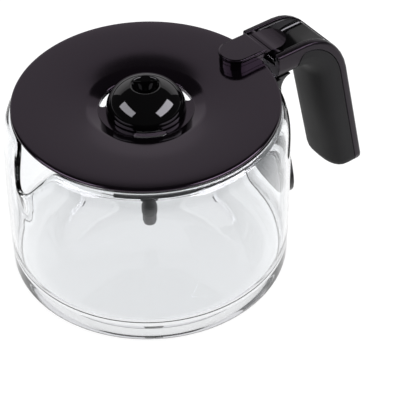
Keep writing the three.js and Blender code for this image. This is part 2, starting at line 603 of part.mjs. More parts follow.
function lidCover() {
  let body = turned(lidProfile(), LID_SEGMENTS);
  const cut = LID_CUT_HALF_ANGLE;
  const lipCut = ringArc(LID_RADIUS - LID_SEAT_WIDTH, LID_RADIUS + FIT, Math.PI - cut, Math.PI + cut);
  body = body.subtract(raised(lipCut, LID_SEAT - 1, LID_TOP - LID_EDGE_AT_SPOUT, 16));
  for (let i = 0; i < SLOT_COUNT; i += 1) {
    const slot = drainSlot((i / SLOT_COUNT) * 2 * Math.PI);
    body = body.subtract(raised(slot, WELL_UNDERSIDE - 1, WELL_FLOOR + LID_WALL, 8));
  }
  const boss = roundFronted(TAB_FRONT + BOSS_INSET, LID_RADIUS - LID_EDGE_BEVEL, TAB_HALF - BOSS_INSET);
  body = body.add(raised(boss, LID_SEAT + 1, LEVER_SEAT));
  for (const side of [-1, 1]) {
    const clear = SHANK_RADIUS + PIN_CLEARANCE;
    body = body.subtract(bar(LEVER_SCREW_X, side * LEVER_SCREW_Y, LID_SEAT - 2, LEVER_SEAT + 1, clear));
  }
  return piece("lid_cover", body, 0x332e33, 0.35);
}

// The skirt hangs inside the jug's mouth and is left open at the spout.
function lidSkirt() {
  const outer = RIM_RADIUS - WALL - SKIRT_GAP;
  const cut = LID_CUT_HALF_ANGLE;
  const shape = ringArc(outer - SKIRT_WALL, outer, cut - Math.PI, Math.PI - cut);
  const top = LID_SEAT - FIT;
  return piece("lid_skirt", raised(shape, top - SKIRT_DEPTH, top, 28), 0x1c1a1c, 0.4);
}

// Drip dome: a cap with a funnel that leads down to the feed tube.
const DOME_BOTTOM = WELL_FLOOR + FIT;
const DOME_SPRING = DOME_BOTTOM + DOME_SKIRT;
const TUBE_TOP = WELL_UNDERSIDE - FIT;

function domeArc(radius, rise, hole, steps) {
  const last = Math.acos(hole / radius);
  const points = [];
  for (let i = 0; i <= steps; i += 1) {
    const turn = (last * i) / steps;
    points.push([radius * Math.cos(turn), DOME_SPRING + rise * Math.sin(turn)]);
  }
  return points;
}

function dripDome() {
  const outside = domeArc(DOME_RADIUS, DOME_RISE, DOME_HOLE_RADIUS, 7);
  const inside = domeArc(DOME_RADIUS - DOME_WALL, DOME_RISE - DOME_WALL, DOME_HOLE_RADIUS - 0.3, 5).reverse();
  const top = outside[outside.length - 1][1];
  const throat = top - FUNNEL_DEPTH;
  const neck = TUBE_BORE + DOME_WALL;
  const profile = [[DOME_RADIUS, DOME_BOTTOM], ...outside, [DOME_HOLE_RADIUS - 0.7, top - 0.2],
    [DOME_HOLE_RADIUS - 1.5, top - 1.6], [TUBE_BORE + 1.2, throat + FUNNEL_CONE], [TUBE_BORE, throat],
    [TUBE_BORE, TUBE_TOP + FIT], [neck, TUBE_TOP + FIT], [neck, throat], [neck + 1.2, throat + FUNNEL_CONE],
    ...inside, [DOME_RADIUS - DOME_WALL, DOME_BOTTOM]];
  return piece("drip_dome", turned(profile, 32), 0x0d0c0e, 0.08);
}

function feedTube() {
  const flangeBottom = TUBE_TOP - TUBE_FLANGE;
  const socket = NOZZLE_SPIGOT_RADIUS + PIN_CLEARANCE;
  const socketTop = TUBE_BOTTOM + NOZZLE_SPIGOT + FIT;
  const profile = [[TUBE_BORE, TUBE_TOP], [TUBE_BORE, socketTop], [socket, socketTop], [socket, TUBE_BOTTOM],
    [TUBE_RADIUS, TUBE_BOTTOM], [TUBE_RADIUS, flangeBottom - 2], [TUBE_RADIUS + 2, flangeBottom],
    [TUBE_FLANGE_RADIUS, flangeBottom], [TUBE_FLANGE_RADIUS, TUBE_TOP]];
  return piece("feed_tube", turned(profile), 0x201e20, 0.4);
}

function swirlNozzle() {
  const shoulder = TUBE_BOTTOM - FIT;
  const spigotTop = TUBE_BOTTOM + NOZZLE_SPIGOT;
  const profile = [[NOZZLE_BORE, spigotTop], [NOZZLE_BORE, NOZZLE_BOTTOM], [NOZZLE_RADIUS - 1.8, NOZZLE_BOTTOM],
    [NOZZLE_RADIUS - 0.5, NOZZLE_BOTTOM + 1], [NOZZLE_RADIUS, NOZZLE_BOTTOM + 2.8], [NOZZLE_RADIUS, shoulder],
    [NOZZLE_SPIGOT_RADIUS, shoulder], [NOZZLE_SPIGOT_RADIUS, spigotTop]];
  return piece("swirl_nozzle", turned(profile), 0x4a484a, 0.4);
}

// Thumb lever: a plate on the lid, a knuckle on the pin and a dished thumb rest behind it.
const LEVER_BOTTOM = LEVER_SEAT + FIT;
const LEVER_TOP = LEVER_BOTTOM + LEVER_PLATE;
const TAB_BOTTOM = LEVER_TOP + FIT;
const TAB_TOP = TAB_BOTTOM + TAB_THICKNESS;
const LEVER_SCREW_SEAT = LID_SEAT - FIT;
const LEVER_SCREW_TOP = TAB_TOP - 1.2;

function thumbLever() {
  const restEdge = REST_TOP - 0.6;
  const middle = (REST_FRONT + REST_BACK) / 2;
  const dish = bend([REST_BACK, REST_TOP], [middle, REST_TOP - 2 * REST_DISH], [REST_FRONT, restEdge]);
  const knuckleFront = HINGE_X - KNUCKLE_RADIUS;
  const side = outline([[LEVER_FRONT, LEVER_BOTTOM], [knuckleFront, LEVER_BOTTOM], [HINGE_X, HINGE_Z],
    [HINGE_X + KNUCKLE_RADIUS, HINGE_Z + FIT], [REST_BACK - 2, REST_TOP - REST_THICKNESS - 0.4], [REST_BACK, REST_TOP - REST_THICKNESS + 0.8],
    [REST_BACK, REST_TOP], ...dish, [REST_FRONT - 0.6, LEVER_TOP], [LEVER_FRONT, LEVER_TOP]]);
  const plan = new THREE.Shape();
  plan.absarc(LEVER_FRONT + LEVER_HALF, 0, LEVER_HALF, Math.PI / 2, (3 * Math.PI) / 2, false);
  plan.absarc(REST_BACK - LEVER_HALF, 0, LEVER_HALF, -Math.PI / 2, Math.PI / 2, false);
  let body = sideways(side, LEVER_HALF).intersect(raised(plan, HINGE_Z - 1, REST_TOP + 1));
  body = body.add(crossBar(KNUCKLE_RADIUS, KNUCKLE_HALF));
  body = body.subtract(crossBar(PIN_RADIUS + PIN_CLEARANCE, HANDLE_HALF));
  const clear = SHANK_RADIUS + PIN_CLEARANCE;
  for (const y of [-LEVER_SCREW_Y, LEVER_SCREW_Y]) {
    body = body.subtract(bar(LEVER_SCREW_X, y, LEVER_BOTTOM - 1, LEVER_TOP + 1, clear));
  }
  return piece("thumb_lever", body, 0x141215, 0.15);
}

function lidTab() {
  let body = raised(roundFronted(TAB_FRONT, TAB_BACK, TAB_HALF), TAB_BOTTOM, TAB_TOP, 10, TAB_BEVEL);
  const pilot = SHANK_RADIUS + PIN_CLEARANCE;
  for (const y of [-LEVER_SCREW_Y, LEVER_SCREW_Y]) {
    body = body.subtract(bar(LEVER_SCREW_X, y, TAB_BOTTOM - 1, LEVER_SCREW_TOP + FIT, pilot));
  }
  return piece("lid_tab", body, 0x171518, 0.15);
}

function hingePin() {
  return piece("hinge_pin", crossBar(PIN_RADIUS, PIN_HALF), 0xb4b4b6, 0.3, 1);
}

const carafe = new THREE.Group();
carafe.add(glassJug(), bondPad(), handleBracket(), handleFrame(), channelLiner(), gripShell(), hingePin());
carafe.add(lidCover(), lidSkirt(), lidTab(), thumbLever(), dripDome(), feedTube(), swirlNozzle());
const leverScrewLength = LEVER_SCREW_TOP - LEVER_SCREW_SEAT;
for (const [word, side] of [["right", -1], ["left", 1]]) {
  carafe.add(screw(`lever_screw_${word}`, LEVER_SCREW_X, side * LEVER_SCREW_Y, LEVER_SCREW_SEAT,
    leverScrewLength, true));
  carafe.add(screw(`bracket_screw_${word}`, BRACKET_SCREW_X, side * BRACKET_SCREW_Y, BRACKET_SCREW_HEAD,
    BRACKET_SCREW_LENGTH));
}
carafe.add(screw("grip_screw", GRIP_SCREW_X, 0, GRIP_SCREW_HEAD, GRIP_SCREW_HEAD - GRIP_SCREW_BOTTOM));

export default carafe;
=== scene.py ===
import math

import bmesh
import bpy
from bpy.props import FloatProperty, FloatVectorProperty, IntProperty, PointerProperty
from mathutils import Matrix, Vector


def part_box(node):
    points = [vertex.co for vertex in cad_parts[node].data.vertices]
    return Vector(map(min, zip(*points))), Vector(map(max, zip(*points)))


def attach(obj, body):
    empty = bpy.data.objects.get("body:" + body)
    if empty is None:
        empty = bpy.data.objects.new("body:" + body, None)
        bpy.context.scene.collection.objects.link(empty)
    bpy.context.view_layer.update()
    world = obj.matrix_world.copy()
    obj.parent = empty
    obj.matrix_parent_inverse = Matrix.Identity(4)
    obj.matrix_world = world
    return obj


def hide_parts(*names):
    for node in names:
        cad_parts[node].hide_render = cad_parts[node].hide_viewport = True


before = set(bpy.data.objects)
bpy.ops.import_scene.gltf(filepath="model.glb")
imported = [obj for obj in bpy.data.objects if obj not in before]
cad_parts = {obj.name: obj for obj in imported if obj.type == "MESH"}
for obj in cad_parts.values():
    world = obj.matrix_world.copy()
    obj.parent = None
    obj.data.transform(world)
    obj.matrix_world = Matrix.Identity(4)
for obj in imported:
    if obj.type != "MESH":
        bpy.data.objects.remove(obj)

bl_info = {
    "name": "Coffee carafe",
    "version": (1, 0, 0),
    "blender": (4, 5, 0),
    "location": "View3D > Sidebar > Carafe",
    "description": "Builds a glass coffee carafe with a drip lid around its packed frame",
    "category": "Object",
}

MM = 0.001
FULL_TURN = 2 * math.pi
QUARTER_TURN = math.pi / 2

# Boxes of the CAD nodes
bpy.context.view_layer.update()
JUG_LOW, JUG_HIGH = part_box("glass_jug")
_, LID_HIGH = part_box("lid_cover")
DOME_LOW, DOME_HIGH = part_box("drip_dome")
TUBE_LOW, TUBE_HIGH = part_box("feed_tube")
NOZZLE_LOW, NOZZLE_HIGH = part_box("swirl_nozzle")
SKIRT_LOW, SKIRT_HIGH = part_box("lid_skirt")
TAB_LOW, TAB_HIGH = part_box("lid_tab")

# Limits for joining points and finding edges
SAME_POINT = 1e-7
JOIN = 2e-6
TINY = 0.001 * MM
CLOSE = 0.15 * MM
FLAT_TURN = math.radians(0.6)
CORNER_TURN = math.radians(25)
CORNER_SHARE = 0.45
SHARP_TURN = math.radians(38)
CRISP_TURN = math.radians(6)
CRISP_RATIO = 6
TROUGH_FLOOR_UP = 0.3
TROUGH_FLOOR_SIDE = 0.2
TROUGH_WALL_SIDE = 0.9

# Small sizes of the jug's section
WALL_STEPS = 24
RING_STEP = MM
RING_SHARE = 0.3
BEND_SHARE = 0.82
FLOOR_SHARE = 0.5

# Small sizes of the lid and the skirt
HOLE_LAP = 3.2 * MM
EDGE_ROUND = 0.6 * MM
WELL_ROUND = 0.3 * MM
UNDER_STEP = MM
UNDER_SHIFT = 1.4 * MM
UNDER_DROP = 0.4 * MM
LIP_WIDTH = 7 * MM
LIP_INSET = 1.6 * MM
LID_EASE = 0.35 * MM
BOSS_INSET = 0.4 * MM
BOSS_ROOT = MM
BOSS_BACK = 0.8 * MM
SLOTS = 3
SLOT_GAP = 0.3 * MM
SLOT_REACH = 5 * MM
SLOT_BAR = 8 * MM
CUT_SPARE = MM
CUT_TOP = 1.4 * MM
SKIRT_WALL = 1.8 * MM
SKIRT_EASE = 0.5 * MM

# Small sizes of the dome, the tube and the nozzle
DOME_GAP = 0.3 * MM
DOME_FOOT = 0.4 * MM
DOME_EASE = 0.45 * MM
BORE = 2.4 * MM
HOLE_STEP = 0.3 * MM
RIM_STEP = 0.6 * MM
RIM_DROP = 0.2 * MM
BOWL_RADIUS = 5.4 * MM
BOWL_DEPTH = 3.4 * MM
THROAT_DEPTH = 12.4 * MM
THROAT_FLARE = 1.2 * MM
FLARE_HEIGHT = 3 * MM
TUBE_RADIUS = 4.45 * MM
TUBE_SOCKET = 3.15 * MM
SOCKET_DEPTH = 6.3 * MM
FLANGE = 1.9 * MM
FLANGE_FLARE = 2 * MM
TUBE_EASE = 0.4 * MM
NOZZLE_BORE = 1.5 * MM
NOZZLE_GAP = 0.3 * MM
NOZZLE_NECK = 3 * MM
TIP_INSET = 1.8 * MM
TIP_CHAMFER = 0.5 * MM
TIP_STEP = MM
TIP_HEIGHT = 2.8 * MM

# Rounding of the screws and the pin
SCREW_EDGE = 0.15 * MM

# Sockets of a Mix node that mixes colours
MIX_FIRST = 6
MIX_SECOND = 7
MIX_RESULT = 2

# The floor's glow by distance from the middle: painted shade under the jug, full white round it and painted
# dimming far away
WHITE = (1, 1, 1, 1)
BLACK = (0, 0, 0, 1)
PAINTED_SHADE = (0.8, 0.8, 0.8, 1)
PAINTED_DIM = (0.45, 0.45, 0.46, 1)
FLOOR_GLOW_PAINTED_SHADE_STOPS = [(0.06, PAINTED_SHADE), (0.085, WHITE), (0.34, WHITE), (0.7, PAINTED_DIM)]
FLOOR_SIZE = 6.0

# Bearings about the photograph's view, places, sizes and tints of the lights
ROOM_TINT = (0.98, 0.98, 1.0, 1)
BOX_HEIGHT = math.radians(37)
BOX_DISTANCE = 1.2
RIGHT_BEARING = math.radians(-18)
RIGHT_SIZE = (1.2, 0.5)
RIGHT_TINT = (0.95, 0.92, 1.0)
LEFT_BEARING = math.radians(-158)
LEFT_SIZE = (1.05, 0.46)
LEFT_TINT = (0.95, 0.93, 1.0)
BACK_BEARING = math.radians(90)
BACK_HEIGHT = math.radians(24)
BACK_DISTANCE = 0.58
BACK_LENGTH = 1.27
BACK_LOW = -0.205
BACK_TINT = (1.0, 0.98, 1.0)

# Name, width and share of the glow of each strip of the back card, from below
BACK_STRIPS = (("back_low", 0.3, 1.0), ("back_top", 0.11, 0.74))

# The camera's sensor in millimetres and the end of its view in metres
SENSOR_WIDTH = 36
VIEW_END = 20


def length(name, description, default, low=0.0, high=0.3):
    """A size in metres that a user may change."""
    return FloatProperty(
        name=name, description=description, default=default, min=low, max=high, unit="LENGTH", precision=4
    )


def colour(name, description, default):
    """A linear colour that a user may change."""
    return FloatVectorProperty(
        name=name, description=description, default=default, subtype="COLOR", size=3, min=0.0, max=1.0
    )


def angle(name, description, degrees):
    """An angle that a user may change."""
    return FloatProperty(name=name, description=description, default=math.radians(degrees), subtype="ANGLE")


def amount(name, description, default, low=0.0, high=50.0):
    """A plain number that a user may change."""
    return FloatProperty(name=name, description=description, default=default, min=low, max=high)


def count(name, description, default, low, high):
    """A whole number that a user may change."""
    return IntProperty(name=name, description=description, default=default, min=low, max=high)


class CarafeGlass(bpy.types.PropertyGroup):
    """Sizes and tint of the jug."""

    radius: length("Radius", "Widest outer radius", JUG_HIGH.x)
    belly: length("Belly height", "Height of the widest place", 0.048)
    drop: length("Barrel drop", "How much narrower the jug is one belly height away", 0.0009)
    heel: length("Heel", "Outer rounding at the base", 0.004)
    wall: length("Wall", "Thickness of the glass", 0.0022)
    floor: length("Floor", "Thickness of the base", 0.0062)
    fillet: length("Inner fillet", "Rounding between wall and floor inside", 0.0115)
    shoulder: length("Shoulder height", "Where the wall turns in", 0.0765)
    rim_radius: length("Rim radius", "Outer radius under the rim", 0.0704)
    rim_height: length("Rim height", "Top of the rim", JUG_HIGH.z)
    bead: length("Rim bead", "Height of the rounded rim", 0.0012)
    collar: length("Collar", "Height of the upright neck under the rim", 0.0014)
    bead_width: length("Bead width", "Thickness of the rounded rim", 0.0029)
    ring: length("Base ring", "Radius of the base's raised middle", 0.0474)
    push_up: length("Push-up", "How far the middle of the base stands off the table", 0.0008)
    spout_start: length("Spout start", "Height where the spout leaves the wall", 0.052)
    spout_height: length("Spout tip height", "Height of the lip at the spout", 0.079)
    spout_radius: length("Spout tip radius", "Reach of the lip at the spout", -JUG_LOW.x)
    spout_angle: angle("Spout half angle", "Half of the spout's width about the axis", 15.5)
    tint: colour("Tint", "Colour of the glass", (0.945, 0.957, 0.968))


class CarafeLid(bpy.types.PropertyGroup):
    """Sizes and colours of the lid, dome and tube."""

    radius: length("Radius", "Outer radius of the lid", LID_HIGH.x)
    top: length("Top", "Height of the lid's edge", 0.101)
    seat: length("Seat", "Height of the lip's underside over the rim", 0.0982)
    wall: length("Wall", "Thickness of the lid", 0.0021)
    lip_radius: length("Well lip radius", "Where the dish turns down into the well", 0.031)
    lip_drop: length("Well lip drop", "How far the well's lip lies under the edge", 0.0022)
    floor_radius: length("Well floor radius", "Radius of the well's floor", 0.0252)
    well_depth: length("Well depth", "Depth of the well's floor under the edge", 0.0044)
    edge_thickness: length("Edge thickness", "Thickness of the lid's outer edge", 0.0014)
    hole_radius: length("Drip hole radius", "Hole in the dome's top", 0.0079)
    dome_wall: length("Dome wall", "Thickness of the dome", 0.0018)
    slot_width: length("Slot width", "Width of the drain slots", 0.0036)
    slot_span: angle("Slot span", "Angle between the centres of each drain slot's round ends", 34)
    open_angle: angle("Spout opening", "Half angle where lip and skirt stop at the spout", 41)
    lid_tint: colour("Lid colour", "Colour of the lid's plastic", (0.0016, 0.0011, 0.0016))
    gloss_tint: colour("Gloss colour", "Colour of dome, lever, tab and liner", (0.0011, 0.001, 0.0011))
    plum: colour("Gloss tint", "Colour of the reflections on lid, lever and frame", (0.98, 0.74, 1.0))
    nozzle_tint: colour("Nozzle colour", "Colour of the tube's end", (0.07, 0.068, 0.07))


class CarafeHandle(bpy.types.PropertyGroup):
    """Colours and edge rounding of the handle."""

    frame_tint: colour("Frame colour", "Colour of arm, band and bracket", (0.0014, 0.0012, 0.0014))
    grip_tint: colour("Grip colour", "Colour of the soft grip", (0.0045, 0.0043, 0.0049))
    pad_tint: colour("Pad colour", "Colour of the adhesive", (0.45, 0.46, 0.46))
    edge: length("Edge rounding", "Rounding on the moulded edges", 0.00035)
    trough: length("Trough rounding", "Rounding between the liner's floor and its walls", 0.0065)
    edge_steps: count("Edge steps", "Segments of each rounding", 2, low=1, high=6)


class CarafeStage(bpy.types.PropertyGroup):
    """Camera and light."""

    pitch: angle("Pitch", "How far the camera looks down", 41.4)
    bearing: angle("Bearing", "How far the handle is turned from the image's right", 36)
    roll: angle("Roll", "Camera roll", -0.59)
    distance: length("Distance", "From the camera to the lid's plane along the view", 0.9894, high=5.0)
    aim: length("Aim", "Height that the camera's offsets start from", 0.101)
    slide: length("Slide", "Camera offset to the right", 0.02734, low=-1.0, high=1.0)
    lift: length("Lift", "Camera offset upwards", -0.05123, low=-1.0, high=1.0)
    lens: amount("Lens", "Focal length in millimetres", 172.98, low=10.0, high=500.0)
    paper: colour("Floor colour", "Colour of the floor", (0.05, 0.05, 0.05))
    floor_glow: amount("Floor glow", "Light from under the floor", 1.06, high=5.0)
    fill: amount("Fill", "Brightness of the room", 0.05, high=5.0)
    right_glow: amount("Right box", "Radiance of the right box", 8.8)
    left_glow: amount("Left box", "Radiance of the left box", 6.4)
    back_glow: amount("Back card", "Radiance of the back card", 0.74)


class Field:
    """A socket whose arithmetic adds Math nodes."""

    def __init__(self, finish, socket):
        self.finish = finish
        self.socket = socket

    def math(self, operation, first, second):
        """A Math node on two values."""
        return self.finish.node("ShaderNodeMath", {"operation": operation}, {0: first, 1: second})

    def __add__(self, other):
        return self.math("ADD", self, other)

    def __radd__(self, other):
        return self.math("ADD", other, self)

    def __mul__(self, other):
        return self.math("MULTIPLY", self, other)

    def __rmul__(self, other):
        return self.math("MULTIPLY", other, self)


class Finish:
    """A material and the nodes that make it."""

    def __init__(self, name):
        self.material = bpy.data.materials.new(name)
        self.material.use_nodes = True
        self.tree = self.material.node_tree
        self.tree.nodes.clear()

    def node(self, kind, settings=None, inputs=None, output=0):
        """Any node: its settings first, then the values or links of its sockets."""
        made = self.tree.nodes.new(kind)
        for key, value in (settings or {}).items():
            if key == "stops":
                set_stops(made.color_ramp, value)
            else:
                setattr(made, key, value)
        for key, value in (inputs or {}).items():
            if isinstance(value, Field):
                self.tree.links.new(value.socket, made.inputs[key])
            else:
                made.inputs[key].default_value = value
        return Field(self, made.outputs[output]) if made.outputs else None

    def place(self):
        """Object coordinates."""
        return self.node("ShaderNodeTexCoord", output="Object")

    def noise(self, scale, detail=2.0, rough=0.5):
        """Noise on object coordinates, from 0 to 1."""
        sockets = {"Vector": self.place(), "Scale": scale, "Detail": detail, "Roughness": rough}
        return self.node("ShaderNodeTexNoise", None, sockets)

    def ramp(self, value, stops):
        """A colour ramp on a value."""
        return self.node("ShaderNodeValToRGB", {"stops": stops}, {"Fac": value})

    def blend(self, factor, first, second):
        """A mix of two colours."""
        sockets = {"Factor": factor, MIX_FIRST: first, MIX_SECOND: second}
        return self.node("ShaderNodeMix", {"data_type": "RGBA"}, sockets, output=MIX_RESULT)

    def bump(self, height, strength, distance):
        """A normal from a height."""
        sockets = {"Height": height, "Strength": strength, "Distance": distance}
        return self.node("ShaderNodeBump", None, sockets)

    def close(self, **sockets):
        """Ends the material in one Principled shader."""
        named = {key.replace("_", " "): value for key, value in sockets.items()}
        shader = self.node("ShaderNodeBsdfPrincipled", None, named)
        self.node("ShaderNodeOutputMaterial", None, {"Surface": shader})
        return self.material


def set_stops(ramp, stops):
    """Gives a colour ramp its stops."""
    while len(ramp.elements) > 1:
        ramp.elements.remove(ramp.elements[-1])
    ramp.elements[0].position = stops[0][0]
    ramp.elements[0].color = stops[0][1]
    for position, value in stops[1:]:
        ramp.elements.new(position).color = value


def solid_colour(tint, gain=1.0):
    """A colour with alpha, made lighter or darker."""
    return (tint[0] * gain, tint[1] * gain, tint[2] * gain, 1.0)


def clear_glass(tint):
    """Clear jug glass with faint handling smears."""
    finish = Finish("clear_glass")
    smear = finish.noise(scale=38.0, detail=4.0, rough=0.6)
    ripple = finish.noise(scale=24.0, detail=1.0)
    return finish.close(
        Base_Color=solid_colour(tint),
        Roughness=0.004 + smear * smear * 0.02,
        IOR=1.47,
        Transmission_Weight=1.0,
        Normal=finish.bump(ripple, strength=0.04, distance=0.0006),
    )


def moulded(name, tint, roughness, depth, grain=2600.0, gloss=(1.0, 1.0, 1.0), shine=0.5):
    """Moulded plastic: a fine grain, a slow change of gloss and a slightly uneven colour."""
    finish = Finish(name)
    slow = finish.noise(scale=46.0, detail=3.0)
    fine = finish.noise(scale=grain, detail=2.0)
    shade = finish.blend(slow, solid_colour(tint, gain=0.82), solid_colour(tint, gain=1.2))
    return finish.close(
        Base_Color=shade,
        Roughness=roughness * (0.85 + slow * 0.3),
        Specular_Tint=solid_colour(gloss),
        Specular_IOR_Level=shine,
        Normal=finish.bump(fine, strength=depth, distance=0.00012),
    )


def soft_touch(tint):
    """Matte rubbery grip with a fine pebbled skin and a worn sheen."""
    finish = Finish("soft_touch_grip")
    slow = finish.noise(scale=30.0, detail=3.0)
    sockets = {"Vector": finish.place(), "Scale": 1900.0}
    pebble = finish.node("ShaderNodeTexVoronoi", {"feature": "SMOOTH_F1"}, sockets)
    shade = finish.blend(slow, solid_colour(tint, gain=0.85), solid_colour(tint, gain=1.18))
    return finish.close(
        Base_Color=shade,
        Roughness=0.5 + slow * 0.2,
        Specular_IOR_Level=0.22,
        Normal=finish.bump(pebble, strength=0.35, distance=0.00015),
    )


def mottled_adhesive(tint):
    """Cured adhesive: grey, blotched where it wetted the glass."""
    finish = Finish("mottled_adhesive")
    blot = finish.noise(scale=190.0, detail=5.0, rough=0.65)
    cell = finish.node("ShaderNodeTexVoronoi", None, {"Vector": finish.place(), "Scale": 260.0})
    mask = finish.ramp(blot + cell * 0.25, [(0.38, BLACK), (0.72, WHITE)])
    shade = finish.blend(mask, solid_colour(tint, gain=0.45), solid_colour(tint, gain=1.25))
    return finish.close(
        Base_Color=shade,
        Roughness=0.55 + blot * 0.2,
        Normal=finish.bump(blot, strength=0.3, distance=0.0003),
    )


def blackened_steel():
    """Blackened steel with fine turning marks."""
    finish = Finish("blackened_steel")
    sockets = {"Vector": finish.place(), "Scale": 900.0, "Detail": 3.0, "Distortion": 0.4}
    marks = finish.node("ShaderNodeTexNoise", None, sockets)
    shade = finish.blend(marks, (0.03, 0.03, 0.032, 1), (0.07, 0.07, 0.072, 1))
    return finish.close(Base_Color=shade, Metallic=1.0, Roughness=0.25 + marks * 0.15)


def glowing_paper(tint, glow):
    """Paper that glows as if lit from below, brightest round the part, with painted shade under the jug and
    painted dimming far away.
    """
    finish = Finish("paper_floor")
    fibre = finish.noise(scale=420.0, detail=3.0)
    shade = finish.blend(fibre, solid_colour(tint, gain=0.97), solid_colour(tint))
    far = finish.node("ShaderNodeVectorMath", {"operation": "LENGTH"}, {0: finish.place()}, output="Value")
    return finish.close(
        Base_Color=shade,
        Roughness=0.9,
        Specular_IOR_Level=0.0,
        # The glow ramp paints the shade under the jug and the dimming far away
        Emission_Color=finish.ramp(far, FLOOR_GLOW_PAINTED_SHADE_STOPS),
        Emission_Strength=glow,
    )


def curve(start, control, end, steps):
    """Points of a quadratic curve, without its first point."""
    points = []
    for index in range(1, steps + 1):
        t = index / steps
        a, b, c = (1 - t) ** 2, 2 * t * (1 - t), t * t
        points.append(tuple(a * p + b * q + c * r for p, q, r in zip(start, control, end)))
    return points


def turns(end, steps):
    """Angles in even steps up to an end, without zero."""
    return [index / steps * end for index in range(1, steps + 1)]


def eased(points, reach):
    """A closed profile whose sharp corners are rounded."""
    out = []
    total = len(points)
    for index, point in enumerate(points):
        here = Vector(point)
        before = Vector(points[index - 1]) - here
        after = Vector(points[(index + 1) % total]) - here
        shortest = min(before.length, after.length)
        if shortest < SAME_POINT or math.pi - before.angle(after) < CORNER_TURN:
            out.append(tuple(here))
            continue
        first = here + before.normalized() * min(reach, before.length * CORNER_SHARE)
        last = here + after.normalized() * min(reach, after.length * CORNER_SHARE)
        out.append(tuple(first))
        out.extend(curve(first, here, last, steps=3))
    return out


def spun(points, steps, sweep=FULL_TURN, start=0.0):
    """A closed profile of (radius, height) points spun about the Z axis."""
    bm = bmesh.new()
    verts = [bm.verts.new((r * math.cos(start), r * math.sin(start), z)) for r, z in points]
    edges = [bm.edges.new(pair) for pair in zip(verts, verts[1:])]
    edges.append(bm.edges.new((verts[-1], verts[0])))
    full = sweep >= FULL_TURN
    bmesh.ops.spin(
        bm, geom=verts + edges, cent=(0, 0, 0), axis=(0, 0, 1), angle=sweep, steps=steps, use_merge=full
    )
    if not full:
        bmesh.ops.holes_fill(bm, edges=bm.edges[:], sides=0)
    bmesh.ops.remove_doubles(bm, verts=bm.verts[:], dist=SAME_POINT)
    bmesh.ops.recalc_face_normals(bm, faces=bm.faces[:])
    return bm


def copied(node):
    """A copy of a CAD node's mesh, merged and with its flat faces joined."""
    bm = bmesh.new()
    bm.from_mesh(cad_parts[node].data)
    bmesh.ops.remove_doubles(bm, verts=bm.verts[:], dist=JOIN)
    bmesh.ops.dissolve_limit(
        bm, angle_limit=FLAT_TURN, use_dissolve_boundaries=False, verts=bm.verts[:], edges=bm.edges[:]
    )
    return bm


def round_edges(bm, edges, width, steps, held):
    """Rounds some edges. Held keeps all of them narrow enough for the shortest."""
    bmesh.ops.bevel(
        bm,
        geom=edges,
        offset=width,
        offset_type="OFFSET",
        affect="EDGES",
        segments=steps,
        profile=0.5,
        material=-1,
        clamp_overlap=held,
    )


def ease_edges(bm, width, steps, held=True):
    """Rounds the sharp edges of a solid, once points too close together for it are joined."""
    bmesh.ops.remove_doubles(bm, verts=bm.verts[:], dist=CLOSE)
    bmesh.ops.dissolve_degenerate(bm, dist=TINY, edges=bm.edges[:])
    pairs = [edge for edge in bm.edges if len(edge.link_faces) == 2]
    sharp = [edge for edge in pairs if edge.calc_face_angle(0.0) > SHARP_TURN]
    round_edges(bm, sharp, width, steps, held)
    bmesh.ops.dissolve_degenerate(bm, dist=TINY, edges=bm.edges[:])


def mesh_object(bm, name):
    """A linked object at the origin from a bmesh."""
    mesh = bpy.data.meshes.new(name)
    bm.to_mesh(mesh)
    bm.free()
    made = bpy.data.objects.new(name, mesh)
    bpy.context.scene.collection.objects.link(made)
    return made


def carve(target, cutter, operation):
    """Joins or cuts one object with another, which goes away."""
    step = target.modifiers.new("carve", "BOOLEAN")
    step.operation = operation
    step.solver = "EXACT"
    step.object = cutter
    bpy.context.view_layer.update()
    evaluated = target.evaluated_get(bpy.context.evaluated_depsgraph_get())
    result = bpy.data.meshes.new_from_object(evaluated)
    target.modifiers.remove(step)
    old = target.data
    target.data = result
    bpy.data.meshes.remove(old)
    bpy.data.objects.remove(cutter)


def crisp_flats(mesh):
    """Keeps a large face evenly shaded where a narrow rounding meets it."""
    bm = bmesh.new()
    bm.from_mesh(mesh)
    for edge in bm.edges:
        areas = sorted(face.calc_area() for face in edge.link_faces)
        uneven = len(areas) == 2 and areas[1] > CRISP_RATIO * areas[0]
        if uneven and edge.calc_face_angle(0.0) > CRISP_TURN:
            edge.smooth = False
    bm.to_mesh(mesh)
    bm.free()


def dress(made, material, body, slot, *nodes, crease=35.0, flats=False):
    """Gives a piece its finish and its body, and hides the CAD nodes that it stands for."""
    made.data.materials.clear()
    made.data.materials.append(material)
    made.data.shade_smooth()
    made.data.set_sharp_from_angle(angle=math.radians(crease))
    if flats:
        crisp_flats(made.data)
    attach(made, body)
    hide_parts(*nodes)


def arc_block(name, radii, heights, middle, half):
    """A block between two radii and two heights, bent about the axis."""
    inner, outer = radii
    low, high = heights
    corners = [(inner, low), (outer, low), (outer, high), (inner, high)]
    return mesh_object(spun(corners, steps=40, sweep=2 * half, start=middle - half), name)


